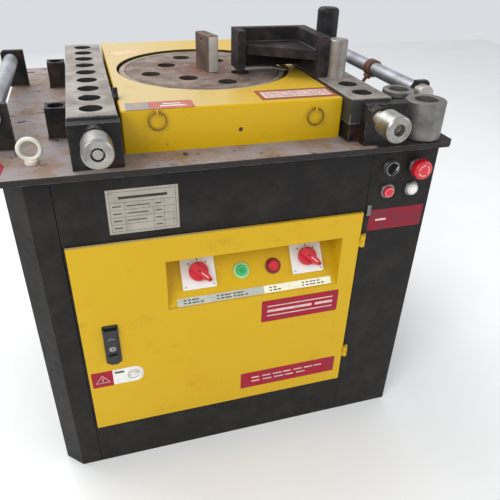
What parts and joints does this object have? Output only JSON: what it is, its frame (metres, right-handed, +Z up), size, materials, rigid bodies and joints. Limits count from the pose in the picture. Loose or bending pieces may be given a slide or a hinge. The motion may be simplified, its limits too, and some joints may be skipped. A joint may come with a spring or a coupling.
{
  "type": "rebar bending machine",
  "caption": "Cabinet-shaped floor-standing rebar bender with a turning disc between two hole rails, front and side rollers, swing backstop and a door with sunk controls.",
  "frame": {"origin": "on the floor, directly under the disc's axis", "axes": "+Z up along the disc's axis, +Y from the front rollers and door to the back, +X to the right when facing the door"},
  "size_m": [0.924, 0.878, 1],
  "materials": {
    "cabinet_black": "dull black paint, scuffed and dusty",
    "machine_yellow": "glossy yellow paint, scratched at the edges",
    "table_steel": "worn dark paint over steel",
    "fitting_black": "black paint, chipped",
    "rail_steel": "milled steel with brown patina",
    "roller_steel": "bright turned steel",
    "side_roller_steel": "galvanised tube",
    "rusty_steel": "surface rust",
    "disc_steel": "rusty turned plate",
    "former_steel": "rusty sides, bright end",
    "stop_black": "black cast finish with brown wear",
    "pin_steel": "used steel",
    "black_pin": "blackened steel",
    "sleeve_steel": "machined steel with patina",
    "eye_paint": "cream paint",
    "ring_wire": "plated wire",
    "fastener_zinc": "zinc plated",
    "gear_steel": "cut steel, oiled",
    "gearbox_iron": "raw casting",
    "pulley_iron": "turned casting",
    "belt_rubber": "black rubber",
    "bearing_steel": "ground steel",
    "motor_paint": "grey-blue paint",
    "box_grey": "light grey paint",
    "plate_silver": "thin printed plate, no text",
    "switch_white": "white plastic",
    "control_red": "red plastic",
    "control_green": "green plastic",
    "control_white": "white plastic",
    "control_black": "black plastic",
    "bezel_metal": "plated ring",
    "latch_black": "black",
    "gland_black": "black nylon"
  },
  "bodies": {
    "cabinet": {"base_frame": "cabinet_black", "left_side_panel": "cabinet_black", "front_panel": "cabinet_black", "control_panel": "cabinet_black", "right_side_panel": "cabinet_black", "rear_panel": "cabinet_black", "cable_gland": "gland_black", "electrical_box": "box_grey", "nameplate": "plate_silver", "table_plate": "table_steel", "table_fasteners": "fastener_zinc", "left_rail": "rail_steel", "right_rail": "rail_steel", "rail_feet": "fitting_black", "end_plates": "fitting_black", "roller_axles": "pin_steel", "side_roller_brackets": "fitting_black", "tool_sockets": "fitting_black", "eye_bolt": "eye_paint", "disc_cover": "machine_yellow", "drive_belts": "belt_rubber", "gearbox_housing": "gearbox_iron", "bearings": "bearing_steel", "motor_body": "motor_paint", "door_hinge_pins": "machine_yellow", "control_bezels": "bezel_metal"},
    "disc": {"turntable_disc": "disc_steel", "main_shaft": "rusty_steel", "main_gear": "gear_steel"},
    "former": {"centre_former": "former_steel"},
    "layshaft": {"intermediate_shaft": "gear_steel"},
    "input": {"input_shaft": "gear_steel", "belt_pulley": "pulley_iron"},
    "rotor": {"motor_rotor": "pulley_iron"},
    "left_front_roller": {"left_front_roller": "roller_steel"},
    "right_front_roller": {"right_front_roller": "roller_steel"},
    "left_side_roller": {"left_side_roller": "side_roller_steel"},
    "right_side_roller": {"right_side_roller": "side_roller_steel", "roller_ring_clamp": "rusty_steel"},
    "large_sleeve": {"large_sleeve": "sleeve_steel"},
    "flanged_bush": {"flanged_bush": "sleeve_steel"},
    "left_pull_ring": {"left_pull_ring": "ring_wire"},
    "right_pull_ring": {"right_pull_ring": "ring_wire"},
    "backstop": {"backstop_bracket": "stop_black", "backstop_wear_strip": "pin_steel"},
    "fixed_pin": {"fixed_pin": "black_pin"},
    "guide_pin": {"guide_pin": "pin_steel"},
    "door": {"door_panel": "machine_yellow", "control_tray": "machine_yellow", "switch_plates": "switch_white", "latch_body": "latch_black"},
    "latch": {"latch_handle": "latch_black"},
    "left_switch": {"left_switch_knob": "control_red"},
    "right_switch": {"right_switch_knob": "control_red"},
    "start_button": {"start_button": "control_green"},
    "stop_button": {"stop_button": "control_red"},
    "selector": {"selector_knob": "control_black"},
    "emergency_stop": {"emergency_stop": "control_red"},
    "red_button": {"red_button": "control_red"},
    "white_button": {"white_button": "control_white"}
  },
  "joints": [
    {"name": "disc_spin", "type": "hinge", "parent": "cabinet", "child": "disc", "pos_m": [0, 0, 0.842], "axis": [0, 0, 1], "continuous": true},
    {"name": "former_lift", "type": "slide", "parent": "disc", "child": "former", "axis": [0, 0, 1], "range_m": [0, 0.12]},
    {"name": "intermediate_spin", "type": "hinge", "parent": "cabinet", "child": "layshaft", "pos_m": [0, 0.2275, 0.66], "axis": [0, 0, 1], "continuous": true},
    {"name": "input_spin", "type": "hinge", "parent": "cabinet", "child": "input", "pos_m": [-0.144, 0.2275, 0.6], "axis": [0, 0, 1], "continuous": true},
    {"name": "motor_spin", "type": "hinge", "parent": "cabinet", "child": "rotor", "pos_m": [-0.25, -0.09, 0.54], "axis": [0, 0, 1], "continuous": true},
    {"name": "left_front_roller_spin", "type": "hinge", "parent": "cabinet", "child": "left_front_roller", "pos_m": [-0.264, -0.434, 0.8435], "axis": [0, 1, 0], "continuous": true},
    {"name": "right_front_roller_spin", "type": "hinge", "parent": "cabinet", "child": "right_front_roller", "pos_m": [0.261, -0.434, 0.8435], "axis": [0, 1, 0], "continuous": true},
    {"name": "left_side_roller_spin", "type": "hinge", "parent": "cabinet", "child": "left_side_roller", "pos_m": [-0.44, 0, 0.845], "axis": [0, 1, 0], "continuous": true},
    {"name": "right_side_roller_spin", "type": "hinge", "parent": "cabinet", "child": "right_side_roller", "pos_m": [0.44, 0, 0.845], "axis": [0, 1, 0], "continuous": true},
    {"name": "large_sleeve_lift", "type": "slide", "parent": "cabinet", "child": "large_sleeve", "axis": [0, 0, 1], "range_m": [0, 0.1]},
    {"name": "flanged_bush_lift", "type": "slide", "parent": "cabinet", "child": "flanged_bush", "axis": [0, 0, 1], "range_m": [0, 0.1]},
    {"name": "left_pull_ring_swing", "type": "hinge", "parent": "cabinet", "child": "left_pull_ring", "pos_m": [-0.151, -0.3075, 0.857], "axis": [-1, 0, 0], "range_deg": [0, 120]},
    {"name": "right_pull_ring_swing", "type": "hinge", "parent": "cabinet", "child": "right_pull_ring", "pos_m": [0.162, -0.3075, 0.845], "axis": [-1, 0, 0], "range_deg": [0, 120]},
    {"name": "backstop_swing", "type": "hinge", "parent": "cabinet", "child": "backstop", "pos_m": [0.265, -0.096, 0.9], "axis": [0, 0, 1], "range_deg": [-35, 0]},
    {"name": "fixed_pin_lift", "type": "slide", "parent": "cabinet", "child": "fixed_pin", "axis": [0, 0, 1], "range_m": [0, 0.09]},
    {"name": "guide_pin_lift", "type": "slide", "parent": "cabinet", "child": "guide_pin", "axis": [0, 0, 1], "range_m": [0, 0.09]},
    {"name": "door_swing", "type": "hinge", "parent": "cabinet", "child": "door", "pos_m": [0.281, -0.36, 0.373], "axis": [0, 0, 1], "range_deg": [0, 110]},
    {"name": "latch_lift", "type": "hinge", "parent": "door", "child": "latch", "pos_m": [-0.287, -0.366, 0.419], "axis": [-1, 0, 0], "range_deg": [0, 45]},
    {"name": "left_switch_turn", "type": "hinge", "parent": "door", "child": "left_switch", "pos_m": [-0.088, -0.31899, 0.505], "axis": [0, -0.8192, 0.5736], "range_deg": [0, 90]},
    {"name": "right_switch_turn", "type": "hinge", "parent": "door", "child": "right_switch", "pos_m": [0.164, -0.31899, 0.505], "axis": [0, -0.8192, 0.5736], "range_deg": [0, 90]},
    {"name": "start_press", "type": "slide", "parent": "door", "child": "start_button", "axis": [0, 0.8192, -0.5736], "range_m": [0, 0.004], "stiffness_N_per_m": 600},
    {"name": "stop_press", "type": "slide", "parent": "door", "child": "stop_button", "axis": [0, 0.8192, -0.5736], "range_m": [0, 0.004], "stiffness_N_per_m": 600},
    {"name": "selector_turn", "type": "hinge", "parent": "cabinet", "child": "selector", "pos_m": [0.324, -0.353, 0.724], "axis": [0, -1, 0], "range_deg": [-45, 45]},
    {"name": "emergency_stop_press", "type": "slide", "parent": "cabinet", "child": "emergency_stop", "axis": [0, 1, 0], "range_m": [0, 0.005]},
    {"name": "red_button_press", "type": "slide", "parent": "cabinet", "child": "red_button", "axis": [0, 1, 0], "range_m": [0, 0.004], "stiffness_N_per_m": 600},
    {"name": "white_button_press", "type": "slide", "parent": "cabinet", "child": "white_button", "axis": [0, 1, 0], "range_m": [0, 0.004], "stiffness_N_per_m": 600}
  ],
  "couplings": [
    {"joint": "intermediate_spin", "follows": "disc_spin", "ratio": -6},
    {"joint": "input_spin", "follows": "disc_spin", "ratio": 30},
    {"joint": "motor_spin", "follows": "disc_spin", "ratio": 90}
  ]
}
